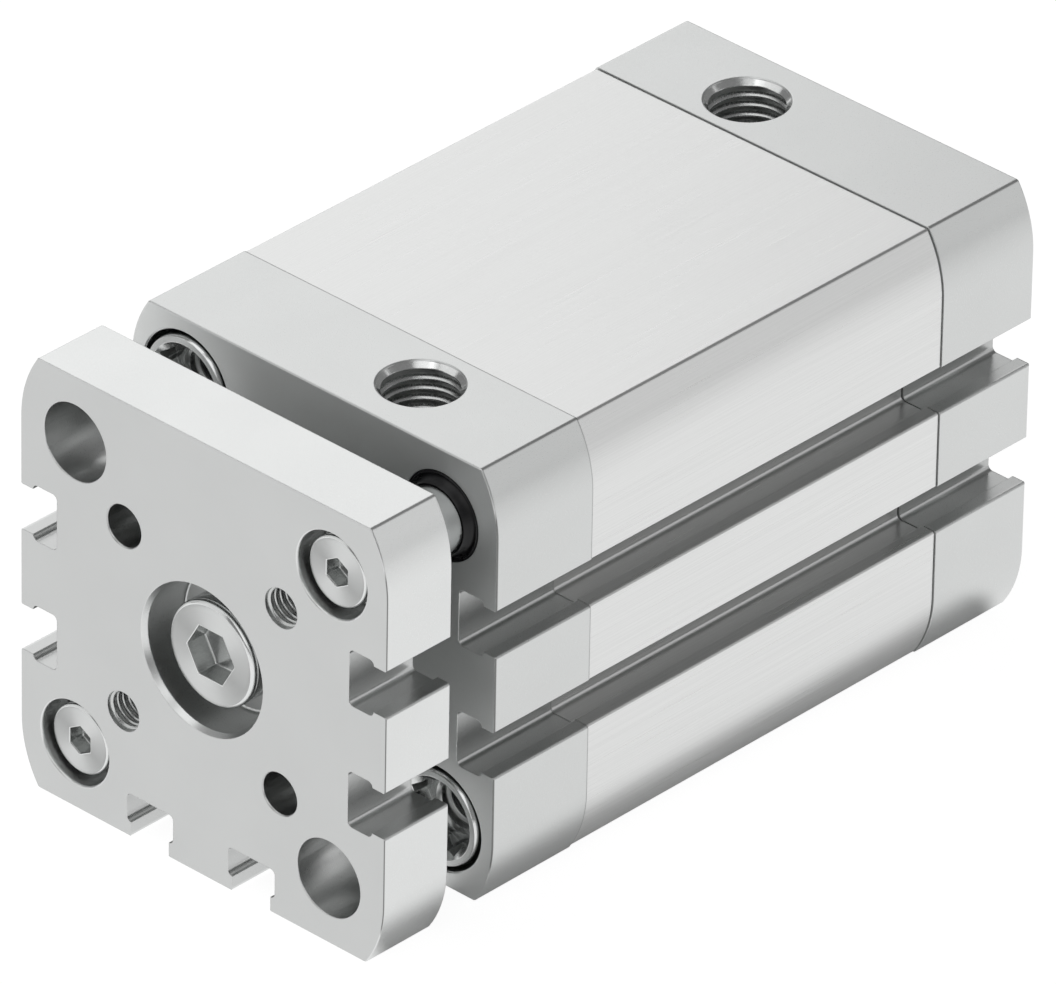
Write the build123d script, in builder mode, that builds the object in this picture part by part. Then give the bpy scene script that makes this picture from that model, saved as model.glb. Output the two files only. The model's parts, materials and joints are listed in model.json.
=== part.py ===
from build123d import *
import os
from math import asin, degrees, sqrt

os.makedirs("parts", exist_ok=True)

# Guided compact air cylinder, in millimetres, drawn with its rod fully in.
# X is across, +Z is up to the side with the air ports, and +Y runs from the yoke to the rear.
# The origin is the centre of the rear cap's mounting face.
# A station is a distance in front of that face, along the axis.

# Working sizes
bore_diameter = 40.0
stroke = 40.0
rod_diameter = 12.0
guide_diameter = 8.0

# Housing
channel_diameter = 10.0
channel_wall = 1.87
corner_margin = 8.15
barrel_step = 0.15
corner_radius = 14.2
corner_blend = 0.5
cap_length = 14.8
cap_edge = 0.2
front_joint_gap = 0.06
rear_joint_gap = 0.2
joint_depth = 0.5
spigot_length = 2.5

# Sensor and clamp slots, two on each side and two underneath
slot_offset = 7.6
slot_mouth = 5.7
slot_undercut = 0.625
slot_lip = 1.85
slot_depth = 5.45
slot_root = 0.65
slot_flare = 0.2

# Air ports, on top of the caps
port_offset = 8.0
port_setback = 8.2
port_diameter = 9.73
port_edge = 0.135
port_depth = 8.0
airway_diameter = 4.0
airway_height = 13.0

# Hollow collar screws that hold the caps to the barrel
collar_diameter = 11.7
collar_head = 5.0
collar_proud = 0.15
collar_recess = 0.3
collar_bevel = 0.25
collar_bevel_depth = 0.42
collar_land = 0.65
collar_shank_length = 18.0
collar_thread = 6.0
collar_drive = 8.0
collar_drive_depth = 3.6
collar_room = 0.525
collar_pocket_edge = 0.15

# Yoke plate
plate_gap = 7.0
plate_thickness = 9.8
plate_edge = 0.15
access_hole = 9.25
access_edge = 0.1
yoke_circle = 33.0
dowel_hole = 5.0
dowel_edge = 0.15
yoke_thread = 4.8
centring_bore = 9.0
centring_depth = 2.1

# Screws of the yoke
yoke_screw_room = 2.45
yoke_pocket_edge = 0.4
yoke_pocket_edge_depth = 0.7
pocket_root = 0.3
yoke_screw_head = 12.5
yoke_screw_head_height = 5.0
yoke_screw_recess = 1.35
yoke_screw_shank = 8.0
yoke_screw_engagement = 12.0
yoke_screw_drive = 6.0
yoke_screw_drive_depth = 2.7
rod_seat = 0.8
guide_screw_room = 0.9
guide_pocket_edge = 0.25
guide_screw_head = 8.4
guide_screw_head_height = 3.5
guide_screw_recess = 0.8
guide_screw_shank = 5.0
guide_screw_engagement = 9.0
guide_screw_drive = 3.0
guide_screw_drive_depth = 2.0
guide_screw_turn = 30.0
guide_seat = 2.5
head_edge = 0.35
tapping_spare = 2.0

# Rod, guide rods and their bearings
rod_flat_width = 10.0
rod_flat_length = 5.0
rod_bush_wall = 1.0
rod_seal_wall = 3.0
rod_seal_length = 3.0
rod_wiper_length = 3.0
guide_bush_wall = 1.0
guide_wiper_wall = 1.35
guide_wiper_length = 3.2
wiper_lip = 1.0
wiper_edge = 0.3
guide_reserve = 4.0
rod_chamfer = 0.6

# Piston
piston_length = 8.8
piston_seal_width = 2.0
piston_seal_depth = 3.0
piston_end_land = 0.9
magnet_width = 1.6
magnet_depth = 2.4
magnet_cover = 0.6
piston_screw_head = 13.0
piston_screw_head_height = 4.0
piston_screw_pocket_gap = 0.3
piston_rod_seat = 1.5
piston_screw_engagement = 10.0

# Seals and bumpers of the caps
cap_ring_section = 1.4
cap_ring_corner = 0.35
bumper_rib = 1.55
bumper_width = 4.0
bumper_groove = 1.0
bumper_stand = 0.5

# Fits, each the gap on the radius
seat_gap = 0.02
running_gap = 0.05
free_gap = 0.3
end_gap = 0.3
screw_gap = 0.05
hole_gap = 0.2

# Sizes that follow from the ones above
diagonal = sqrt(2)
fixing_pitch = diagonal * (bore_diameter / 2 + channel_wall + channel_diameter / 2)
corner = fixing_pitch / 2
face_width = fixing_pitch + 2 * corner_margin
barrel_length = stroke + piston_length + 2 * (spigot_length + bumper_stand + end_gap)
barrel_front = cap_length + barrel_length
housing_front = barrel_front + cap_length
plate_back = housing_front + plate_gap
plate_front = plate_back + plate_thickness
rear_spigot_end = cap_length + spigot_length
front_spigot_end = barrel_front - spigot_length
piston_rear = rear_spigot_end + bumper_stand + end_gap
piston_front = piston_rear + piston_length
slot_pocket = slot_mouth + 2 * slot_undercut
collar_shank = channel_diameter - 2 * screw_gap
collar_clearance_hole = channel_diameter + 2 * hole_gap
collar_pocket = collar_diameter + 2 * collar_room
collar_countersink = collar_diameter - 2 * (collar_bevel + collar_land)
yoke_hole_offset = yoke_circle / 2 / diagonal
yoke_pocket = yoke_screw_head + 2 * yoke_screw_room
guide_pocket = guide_screw_head + 2 * guide_screw_room
yoke_pocket_depth = yoke_screw_recess + yoke_screw_head_height
guide_pocket_depth = guide_screw_recess + guide_screw_head_height
rod_front = plate_back + rod_seat
guide_front = plate_back + guide_seat
guide_rear = barrel_front - stroke - guide_reserve
rod_seal_bore_depth = rod_wiper_length + rod_seal_length
rod_seal_diameter = rod_diameter + 2 * rod_seal_wall
guide_wiper_diameter = guide_diameter + 2 * guide_wiper_wall
rod_bush_diameter = rod_diameter + 2 * (running_gap + rod_bush_wall)
guide_bush_diameter = guide_diameter + 2 * (running_gap + guide_bush_wall)
bumper_inner = rod_bush_diameter + 2 * bumper_rib
bumper_outer = bumper_inner + 2 * bumper_width

# The upper right and lower left corners carry the guide rods, the other two carry collar screws.
guide_corners = {"upper": (corner, corner), "lower": (-corner, -corner)}
screw_corners = {"upper": (-corner, corner), "lower": (corner, -corner)}
rear_corners = {
    "upper_right": (corner, corner),
    "upper_left": (-corner, corner),
    "lower_right": (corner, -corner),
    "lower_left": (-corner, -corner),
}


def station(distance):
    """Plane across the axis at a station, facing the front, with its x and y along X and Z."""
    return Plane.XZ.offset(distance)


def rear_station(distance):
    """Plane across the axis at a station, facing the rear, with its x against X and its y along Z."""
    return Plane(origin=(0, -distance, 0), x_dir=(-1, 0, 0), z_dir=(0, 1, 0))


def half_section(x, z):
    """Plane through an axis at (x, z): its x is the radius and its y the station."""
    return Plane(origin=(x, 0, z), x_dir=(1, 0, 0), z_dir=(0, 0, -1))


def forward_axis(x, z):
    """Line along the cylinder at (x, z), pointing to the front."""
    return Axis((x, 0, z), (0, -1, 0))


def square_outline(half):
    """Square with its sides running into large corner arcs, which the flat top and bottom cut off."""
    arc_centre = half - corner_radius
    arc_angle = degrees(asin((half - corner) / corner_radius))
    flat_half = arc_centre + sqrt(corner_radius**2 - (half - corner) ** 2)
    with BuildSketch() as outline:
        with BuildLine():
            Line((-flat_half, half), (flat_half, half))
            CenterArc((arc_centre, corner), corner_radius, 0, arc_angle)
            Line((half, corner), (half, -corner))
            CenterArc((arc_centre, -corner), corner_radius, -arc_angle, arc_angle)
            Line((flat_half, -half), (-flat_half, -half))
            CenterArc((-arc_centre, -corner), corner_radius, 180, arc_angle)
            Line((-half, -corner), (-half, corner))
            CenterArc((-arc_centre, corner), corner_radius, 180 - arc_angle, arc_angle)
        make_face()
        tips = outline.vertices().filter_by(lambda tip: abs(tip.Y) > (half + corner) / 2)
        fillet(tips, corner_blend)
    return outline.sketch


def slot_pattern(half):
    """The six T slots, each with a flared mouth, in the side faces and the underside."""
    mouth_half = slot_mouth / 2
    with BuildSketch() as slot:
        with Locations((-slot_lip, 0)):
            Rectangle(slot_depth - slot_lip, slot_pocket, align=(Align.MAX, Align.CENTER))
        fillet(slot.vertices(), slot_root)
        Rectangle(slot_depth, slot_mouth, align=(Align.MAX, Align.CENTER))
        with BuildLine():
            Polyline(
                (slot_flare, mouth_half + 2 * slot_flare),
                (-slot_flare, mouth_half),
                (-slot_flare, -mouth_half),
                (slot_flare, -mouth_half - 2 * slot_flare),
                close=True,
            )
        make_face()
    with BuildSketch() as pattern:
        with Locations((half, slot_offset), (half, -slot_offset)):
            add(slot.sketch)
        with Locations((-half, slot_offset), (-half, -slot_offset)):
            add(slot.sketch, rotation=180)
        with Locations((slot_offset, -half), (-slot_offset, -half)):
            add(slot.sketch, rotation=-90)
    return pattern.sketch


def ring_section(inner, outer):
    """Flat ring between two diameters."""
    with BuildSketch() as ring:
        Circle(outer / 2)
        Circle(inner / 2, mode=Mode.SUBTRACT)
    return ring.sketch


face_outline = square_outline(face_width / 2)
face_slots = slot_pattern(face_width / 2)
barrel_outline = square_outline(face_width / 2 - barrel_step)
barrel_slots = slot_pattern(face_width / 2 - barrel_step)

# Narrow band just inside a cap's outline and slots, where it stands clear of the barrel
with BuildSketch() as slotted_face:
    add(face_outline)
    add(face_slots, mode=Mode.SUBTRACT)
with BuildSketch() as joint_relief:
    add(slotted_face.sketch)
    offset(slotted_face.sketch, amount=-joint_depth, mode=Mode.SUBTRACT)

# Barrel: a drawn section with the piston bore, four corner channels and the slots
with BuildPart() as barrel:
    with BuildSketch(station(cap_length)):
        add(barrel_outline)
        add(barrel_slots, mode=Mode.SUBTRACT)
        Circle(bore_diameter / 2, mode=Mode.SUBTRACT)
        with GridLocations(fixing_pitch, fixing_pitch, 2, 2):
            Circle(channel_diameter / 2, mode=Mode.SUBTRACT)
    extrude(amount=barrel_length)
barrel.part.label = "barrel"
export_step(barrel.part, "parts/barrel.step")

# Front cap: carries the rod bearing, the guide bearings and the front air port
with BuildPart() as front_cap:
    with BuildSketch(station(barrel_front)):
        add(face_outline)
    extrude(amount=cap_length)
    fillet(front_cap.faces().sort_by(Axis.Y)[0].edges(), cap_edge)
    with BuildSketch(station(front_spigot_end)):
        Circle(bore_diameter / 2 - seat_gap)
    extrude(amount=spigot_length)
    with BuildSketch(station(barrel_front - cap_ring_section)):
        add(ring_section(bore_diameter - 2 * cap_ring_section, bore_diameter))
    extrude(amount=cap_ring_section, mode=Mode.SUBTRACT)
    with BuildSketch(station(front_spigot_end)):
        add(ring_section(bumper_inner - 2 * seat_gap, bumper_outer + 2 * seat_gap))
    extrude(amount=bumper_groove, mode=Mode.SUBTRACT)
    with BuildSketch(station(barrel_front)):
        add(face_slots)
    extrude(amount=cap_length, mode=Mode.SUBTRACT)
    with BuildSketch(station(barrel_front)):
        add(joint_relief.sketch)
    extrude(amount=front_joint_gap, mode=Mode.SUBTRACT)
    with Locations(station(housing_front)):
        CounterBoreHole(
            radius=rod_bush_diameter / 2 + seat_gap,
            counter_bore_radius=rod_seal_diameter / 2 + seat_gap,
            counter_bore_depth=rod_seal_bore_depth,
        )
        with Locations(*guide_corners.values()):
            CounterBoreHole(
                radius=guide_bush_diameter / 2 + seat_gap,
                counter_bore_radius=guide_wiper_diameter / 2,
                counter_bore_depth=guide_wiper_length,
            )
        with Locations(*screw_corners.values()):
            CounterBoreHole(
                radius=collar_clearance_hole / 2,
                counter_bore_radius=collar_pocket / 2,
                counter_bore_depth=collar_head - collar_proud,
            )
    pocket_rims = (
        front_cap.faces()
        .sort_by(Axis.Y)[0]
        .edges()
        .filter_by(GeomType.CIRCLE)
        .filter_by(lambda rim: abs(rim.radius - collar_pocket / 2) < seat_gap)
    )
    chamfer(pocket_rims, collar_pocket_edge)
    with Locations(Plane(origin=(port_offset, port_setback - housing_front, face_width / 2))):
        CounterSinkHole(
            radius=port_diameter / 2,
            counter_sink_radius=port_diameter / 2 + port_edge,
            depth=port_depth,
            counter_sink_angle=90,
        )
        Hole(airway_diameter / 2, depth=face_width / 2 - airway_height)
    with Locations(rear_station(front_spigot_end)):
        with Locations((-port_offset, airway_height)):
            Hole(airway_diameter / 2, depth=spigot_length + cap_length - port_setback)
front_cap.part.label = "front_cap"
export_step(front_cap.part, "parts/front_cap.step")

# Rear cap: carries the rear mounting pattern, its centring bore and the rear air port
with BuildPart() as rear_cap:
    with BuildSketch(station(0)):
        add(face_outline)
    extrude(amount=cap_length)
    fillet(rear_cap.faces().filter_by(Axis.Y).edges(), cap_edge)
    with BuildSketch(station(cap_length)):
        Circle(bore_diameter / 2 - seat_gap)
    extrude(amount=spigot_length)
    with BuildSketch(station(cap_length)):
        add(ring_section(bore_diameter - 2 * cap_ring_section, bore_diameter))
    extrude(amount=cap_ring_section, mode=Mode.SUBTRACT)
    with BuildSketch(station(rear_spigot_end - bumper_groove)):
        add(ring_section(bumper_inner - 2 * seat_gap, bumper_outer + 2 * seat_gap))
    extrude(amount=bumper_groove, mode=Mode.SUBTRACT)
    with BuildSketch(station(0)):
        add(face_slots)
    extrude(amount=cap_length, mode=Mode.SUBTRACT)
    with BuildSketch(station(cap_length - rear_joint_gap)):
        add(joint_relief.sketch)
    extrude(amount=rear_joint_gap, mode=Mode.SUBTRACT)
    with Locations(rear_station(0)):
        Hole(centring_bore / 2, depth=centring_depth)
        with GridLocations(fixing_pitch, fixing_pitch, 2, 2):
            CounterBoreHole(
                radius=collar_clearance_hole / 2,
                counter_bore_radius=collar_pocket / 2,
                counter_bore_depth=collar_head + collar_recess,
            )
    with Locations(Plane(origin=(-port_offset, -port_setback, face_width / 2))):
        CounterSinkHole(
            radius=port_diameter / 2,
            counter_sink_radius=port_diameter / 2 + port_edge,
            depth=port_depth,
            counter_sink_angle=90,
        )
        Hole(airway_diameter / 2, depth=face_width / 2 - airway_height)
    with Locations(station(rear_spigot_end)):
        with Locations((-port_offset, airway_height)):
            Hole(airway_diameter / 2, depth=rear_spigot_end - port_setback)
rear_cap.part.label = "rear_cap"
export_step(rear_cap.part, "parts/rear_cap.step")


def collar_screw(x, z, face_station, direction):
    """Hollow screw: its face at a station, and its shank running forward (1) or to the rear (-1)."""
    face_radius = collar_diameter / 2 - collar_bevel
    cone_depth = (collar_countersink - collar_drive) / 2
    plane = station(face_station) if direction < 0 else rear_station(face_station)
    side = 1 if direction < 0 else -1
    seat = face_station + direction * collar_head
    tip = seat + direction * collar_shank_length
    bevel = face_station + direction * collar_bevel_depth
    lead = tip - direction * rod_chamfer
    shank_radius = collar_shank / 2
    with BuildPart() as screw:
        with BuildSketch(half_section(x, z)):
            with BuildLine():
                Polyline(
                    (0, face_station),
                    (face_radius, face_station),
                    (collar_diameter / 2, bevel),
                    (collar_diameter / 2, seat),
                    (shank_radius, seat),
                    (shank_radius, lead),
                    (shank_radius - rod_chamfer, tip),
                    (0, tip),
                    close=True,
                )
            make_face()
        revolve(axis=forward_axis(x, z))
        with Locations(plane):
            with Locations((side * x, z)):
                CounterSinkHole(
                    radius=collar_thread / 2,
                    counter_sink_radius=collar_countersink / 2,
                    depth=collar_head + collar_shank_length,
                    counter_sink_angle=90,
                )
        with BuildSketch(plane):
            with Locations((side * x, z)):
                RegularPolygon(collar_drive / 2, 6, major_radius=False)
                RegularPolygon(collar_drive / 2, 6, major_radius=False, rotation=30)
        extrude(amount=-collar_drive_depth, mode=Mode.SUBTRACT)
    return screw.part


# Collar screws of the front cap, their faces just proud of it
for place, (x, z) in screw_corners.items():
    front_screw = collar_screw(x, z, housing_front + collar_proud, -1)
    front_screw.label = f"front_collar_screw_{place}"
    export_step(front_screw, f"parts/front_collar_screw_{place}.step")

# Collar screws of the rear cap, sunk below the mounting face
for place, (x, z) in rear_corners.items():
    rear_screw = collar_screw(x, z, collar_recess, 1)
    rear_screw.label = f"rear_collar_screw_{place}"
    export_step(rear_screw, f"parts/rear_collar_screw_{place}.step")

# Sealing rings at the root of each cap's spigot
for place, ring_middle in {
    "front": barrel_front - cap_ring_section / 2,
    "rear": cap_length + cap_ring_section / 2,
}.items():
    with BuildPart() as cap_ring:
        with BuildSketch(half_section(0, 0)):
            with Locations((bore_diameter / 2 - cap_ring_section / 2, ring_middle)):
                ring_face = Rectangle(cap_ring_section - 2 * seat_gap, cap_ring_section - 2 * seat_gap)
            chamfer(ring_face.vertices(), cap_ring_corner)
        revolve(axis=forward_axis(0, 0))
    cap_ring.part.label = f"{place}_cap_seal"
    export_step(cap_ring.part, f"parts/{place}_cap_seal.step")

# Bumper rings that stop the piston at each end
for place, bumper_rear in {
    "front": front_spigot_end - bumper_stand,
    "rear": rear_spigot_end - bumper_groove,
}.items():
    with BuildPart() as bumper:
        with BuildSketch(station(bumper_rear)):
            add(ring_section(bumper_inner, bumper_outer))
        extrude(amount=bumper_groove + bumper_stand)
    bumper.part.label = f"{place}_bumper"
    export_step(bumper.part, f"parts/{place}_bumper.step")

# Bush that the piston rod runs in
with BuildPart() as rod_bush:
    with BuildSketch(station(front_spigot_end)):
        add(ring_section(rod_diameter + 2 * running_gap, rod_bush_diameter))
    extrude(amount=cap_length + spigot_length - rod_seal_bore_depth)
rod_bush.part.label = "rod_bush"
export_step(rod_bush.part, "parts/rod_bush.step")

# Pressure seal of the piston rod
with BuildPart() as rod_seal:
    with BuildSketch(station(housing_front - rod_seal_bore_depth)):
        add(ring_section(rod_diameter + 2 * running_gap, rod_seal_diameter))
    extrude(amount=rod_seal_length)
rod_seal.part.label = "rod_seal"
export_step(rod_seal.part, "parts/rod_seal.step")


def wiper(x, z, inner, outer, length):
    """Wiper ring, flush in the cap's face, with a lip that rises to the rod it wipes."""
    back = housing_front - length
    with BuildPart() as ring:
        with BuildSketch(half_section(x, z)):
            with BuildLine():
                Polyline(
                    (inner / 2, back),
                    (outer / 2, back),
                    (outer / 2, housing_front - wiper_edge),
                    (outer / 2 - wiper_edge, housing_front),
                    (inner / 2 + wiper_edge / 2, housing_front + wiper_lip),
                    (inner / 2, housing_front + wiper_lip),
                    close=True,
                )
            make_face()
        revolve(axis=forward_axis(x, z))
    return ring.part


# Wiper of the piston rod
rod_wiper = wiper(0, 0, rod_diameter + 2 * running_gap, rod_seal_diameter, rod_wiper_length)
rod_wiper.label = "rod_wiper"
export_step(rod_wiper, "parts/rod_wiper.step")

# Bush and wiper of each guide rod
for place, (x, z) in guide_corners.items():
    with BuildPart() as guide_bush:
        with BuildSketch(station(barrel_front)):
            with Locations((x, z)):
                add(ring_section(guide_diameter + 2 * running_gap, guide_bush_diameter))
        extrude(amount=cap_length - guide_wiper_length)
    guide_bush.part.label = f"guide_bush_{place}"
    export_step(guide_bush.part, f"parts/guide_bush_{place}.step")
    guide_ring = wiper(
        x,
        z,
        guide_diameter + 2 * running_gap,
        guide_wiper_diameter - 2 * seat_gap,
        guide_wiper_length,
    )
    guide_ring.label = f"guide_wiper_{place}"
    export_step(guide_ring, f"parts/guide_wiper_{place}.step")

# Yoke plate: joins the piston rod and both guide rods, and takes the load
with BuildPart() as yoke_plate:
    with BuildSketch(station(plate_back)):
        add(face_outline)
    extrude(amount=plate_thickness)
    fillet(yoke_plate.faces().filter_by(Axis.Y).edges(), plate_edge)
    with BuildSketch(station(plate_back)):
        add(face_slots)
    extrude(amount=plate_thickness, mode=Mode.SUBTRACT)
    with Locations(station(plate_front)):
        CounterBoreHole(
            radius=yoke_screw_shank / 2 + hole_gap,
            counter_bore_radius=yoke_pocket / 2,
            counter_bore_depth=yoke_pocket_depth,
        )
        with Locations(*guide_corners.values()):
            CounterBoreHole(
                radius=guide_screw_shank / 2 + hole_gap,
                counter_bore_radius=guide_pocket / 2,
                counter_bore_depth=guide_pocket_depth,
            )
        with Locations(*screw_corners.values()):
            Hole(access_hole / 2)
        with Locations((-yoke_hole_offset, yoke_hole_offset), (yoke_hole_offset, -yoke_hole_offset)):
            Hole(dowel_hole / 2)
        with Locations((yoke_hole_offset, yoke_hole_offset), (-yoke_hole_offset, -yoke_hole_offset)):
            Hole(yoke_thread / 2)
    rims = yoke_plate.faces().sort_by(Axis.Y)[0].edges().filter_by(GeomType.CIRCLE)
    centre_rim = rims.filter_by(lambda rim: abs(rim.radius - yoke_pocket / 2) < seat_gap)
    chamfer(centre_rim, yoke_pocket_edge, yoke_pocket_edge_depth)
    rims = yoke_plate.faces().sort_by(Axis.Y)[0].edges().filter_by(GeomType.CIRCLE)
    guide_rims = rims.filter_by(lambda rim: abs(rim.radius - guide_pocket / 2) < seat_gap)
    fillet(guide_rims, guide_pocket_edge)
    rims = yoke_plate.faces().filter_by(Axis.Y).edges().filter_by(GeomType.CIRCLE)
    access_rims = rims.filter_by(lambda rim: abs(rim.radius - access_hole / 2) < seat_gap)
    chamfer(access_rims, access_edge)
    rims = yoke_plate.faces().filter_by(Axis.Y).edges().filter_by(GeomType.CIRCLE)
    dowel_rims = rims.filter_by(lambda rim: abs(rim.radius - dowel_hole / 2) < seat_gap)
    chamfer(dowel_rims, dowel_edge)
    for pocket, count in ((yoke_pocket, 1), (guide_pocket, len(guide_corners))):
        rings = yoke_plate.edges().filter_by(GeomType.CIRCLE)
        pocket_rings = rings.filter_by(lambda ring: abs(ring.radius - pocket / 2) < seat_gap)
        fillet(pocket_rings.sort_by(Axis.Y)[-count:], pocket_root)
    with Locations(rear_station(plate_back)):
        Hole(rod_diameter / 2 + seat_gap, depth=rod_seat)
        with Locations((-corner, corner), (corner, -corner)):
            Hole(guide_diameter / 2 + seat_gap, depth=guide_seat)
yoke_plate.part.label = "yoke_plate"
export_step(yoke_plate.part, "parts/yoke_plate.step")

# Piston rod, with spanner flats behind the yoke plate and a thread in each end
with BuildPart() as piston_rod:
    rod_rear = piston_front - piston_rod_seat
    with BuildSketch(station(rod_rear)):
        Circle(rod_diameter / 2)
    extrude(amount=rod_front - rod_rear)
    with BuildSketch(station(plate_back - rod_flat_length)):
        Rectangle(2 * rod_diameter, 2 * rod_diameter)
        Rectangle(2 * rod_diameter, rod_flat_width, mode=Mode.SUBTRACT)
    extrude(amount=rod_flat_length, mode=Mode.SUBTRACT)
    with Locations(station(rod_front)):
        Hole(yoke_screw_shank / 2 + screw_gap, depth=yoke_screw_engagement + tapping_spare)
    with Locations(rear_station(rod_rear)):
        Hole(yoke_screw_shank / 2 + screw_gap, depth=piston_screw_engagement + tapping_spare)
piston_rod.part.label = "piston_rod"
export_step(piston_rod.part, "parts/piston_rod.step")

# Guide rods, tapped at the front and free at the rear inside the barrel's corner channels
for place, (x, z) in guide_corners.items():
    with BuildPart() as guide_rod:
        with BuildSketch(station(guide_rear)):
            with Locations((x, z)):
                Circle(guide_diameter / 2)
        extrude(amount=guide_front - guide_rear)
        chamfer(guide_rod.faces().sort_by(Axis.Y)[-1].edges(), rod_chamfer)
        with Locations(station(guide_front)):
            with Locations((x, z)):
                Hole(guide_screw_shank / 2 + screw_gap, depth=guide_screw_engagement + tapping_spare)
    guide_rod.part.label = f"guide_rod_{place}"
    export_step(guide_rod.part, f"parts/guide_rod_{place}.step")


def socket_screw(x, z, seat, head, head_height, shank, length, drive, drive_depth, turn):
    """Socket screw: its head stands forward of the seat, and its shank runs to the rear."""
    with BuildPart() as screw:
        with BuildSketch(station(seat)):
            with Locations((x, z)):
                Circle(head / 2)
        extrude(amount=head_height)
        fillet(screw.faces().sort_by(Axis.Y)[0].edges(), head_edge)
        with BuildSketch(station(seat - length)):
            with Locations((x, z)):
                Circle(shank / 2)
        extrude(amount=length)
        chamfer(screw.faces().sort_by(Axis.Y)[-1].edges(), rod_chamfer)
        with BuildSketch(station(seat + head_height)):
            with Locations((x, z)):
                RegularPolygon(drive / 2, 6, major_radius=False, rotation=turn)
        extrude(amount=-drive_depth, mode=Mode.SUBTRACT)
    return screw.part


# Screw that holds the yoke plate to the piston rod
yoke_screw_seat = plate_front - yoke_pocket_depth
yoke_screw = socket_screw(
    0,
    0,
    yoke_screw_seat,
    yoke_screw_head,
    yoke_screw_head_height,
    yoke_screw_shank,
    yoke_screw_seat - rod_front + yoke_screw_engagement,
    yoke_screw_drive,
    yoke_screw_drive_depth,
    0,
)
yoke_screw.label = "yoke_screw"
export_step(yoke_screw, "parts/yoke_screw.step")

# Screws that hold the yoke plate to the guide rods
guide_screw_seat = plate_front - guide_pocket_depth
for place, (x, z) in guide_corners.items():
    guide_screw = socket_screw(
        x,
        z,
        guide_screw_seat,
        guide_screw_head,
        guide_screw_head_height,
        guide_screw_shank,
        guide_screw_seat - guide_front + guide_screw_engagement,
        guide_screw_drive,
        guide_screw_drive_depth,
        guide_screw_turn,
    )
    guide_screw.label = f"guide_screw_{place}"
    export_step(guide_screw, f"parts/guide_screw_{place}.step")

# Piston: a disc with grooves for two seals and the sensor magnet
piston_radius = bore_diameter / 2 - free_gap
front_seal_station = piston_front - piston_end_land - piston_seal_width
rear_seal_station = piston_rear + piston_end_land
magnet_station = piston_rear + (piston_length - magnet_width) / 2
seal_floor = bore_diameter - 2 * piston_seal_depth
magnet_outer = 2 * piston_radius - 2 * magnet_cover
magnet_floor = magnet_outer - 2 * magnet_depth
piston_pocket_depth = piston_screw_head_height + piston_screw_pocket_gap
with BuildPart() as piston:
    with BuildSketch(station(piston_rear)):
        Circle(piston_radius)
    extrude(amount=piston_length)
    for groove_station in (front_seal_station, rear_seal_station):
        with BuildSketch(station(groove_station)):
            add(ring_section(seal_floor, bore_diameter))
        extrude(amount=piston_seal_width, mode=Mode.SUBTRACT)
    with BuildSketch(station(magnet_station)):
        add(ring_section(magnet_floor, bore_diameter))
    extrude(amount=magnet_width, mode=Mode.SUBTRACT)
    with Locations(rear_station(piston_rear)):
        CounterBoreHole(
            radius=yoke_screw_shank / 2 + hole_gap,
            counter_bore_radius=piston_screw_head / 2 + hole_gap,
            counter_bore_depth=piston_pocket_depth,
        )
    with Locations(station(piston_front)):
        Hole(rod_diameter / 2 + seat_gap, depth=piston_rod_seat)
piston.part.label = "piston"
export_step(piston.part, "parts/piston.step")

# Piston seals, which run on the bore
for place, seal_station in {"front": front_seal_station, "rear": rear_seal_station}.items():
    with BuildPart() as piston_seal:
        with BuildSketch(station(seal_station)):
            add(ring_section(seal_floor + 2 * seat_gap, bore_diameter - 2 * running_gap))
        extrude(amount=piston_seal_width)
    piston_seal.part.label = f"piston_seal_{place}"
    export_step(piston_seal.part, f"parts/piston_seal_{place}.step")

# Magnet ring that the sensors in the slots read
with BuildPart() as magnet_ring:
    with BuildSketch(station(magnet_station)):
        add(ring_section(magnet_floor + 2 * seat_gap, magnet_outer))
    extrude(amount=magnet_width)
magnet_ring.part.label = "magnet_ring"
export_step(magnet_ring.part, "parts/magnet_ring.step")

# Screw that holds the piston to the rod, its head sunk in the piston's rear face
piston_screw_seat = piston_rear + piston_pocket_depth
piston_screw_length = rod_rear - piston_screw_seat + piston_screw_engagement
with BuildPart() as piston_screw:
    with BuildSketch(station(piston_screw_seat - piston_screw_head_height)):
        Circle(piston_screw_head / 2)
        RegularPolygon(yoke_screw_drive / 2, 6, major_radius=False, mode=Mode.SUBTRACT)
    extrude(amount=yoke_screw_drive_depth)
    with BuildSketch(station(piston_screw_seat - piston_screw_head_height + yoke_screw_drive_depth)):
        Circle(piston_screw_head / 2)
    extrude(amount=piston_screw_head_height - yoke_screw_drive_depth)
    with BuildSketch(station(piston_screw_seat)):
        Circle(yoke_screw_shank / 2)
    extrude(amount=piston_screw_length)
piston_screw.part.label = "piston_screw"
export_step(piston_screw.part, "parts/piston_screw.step")
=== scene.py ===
import json
import math

import bmesh
import bpy
from mathutils import Matrix, Vector


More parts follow.
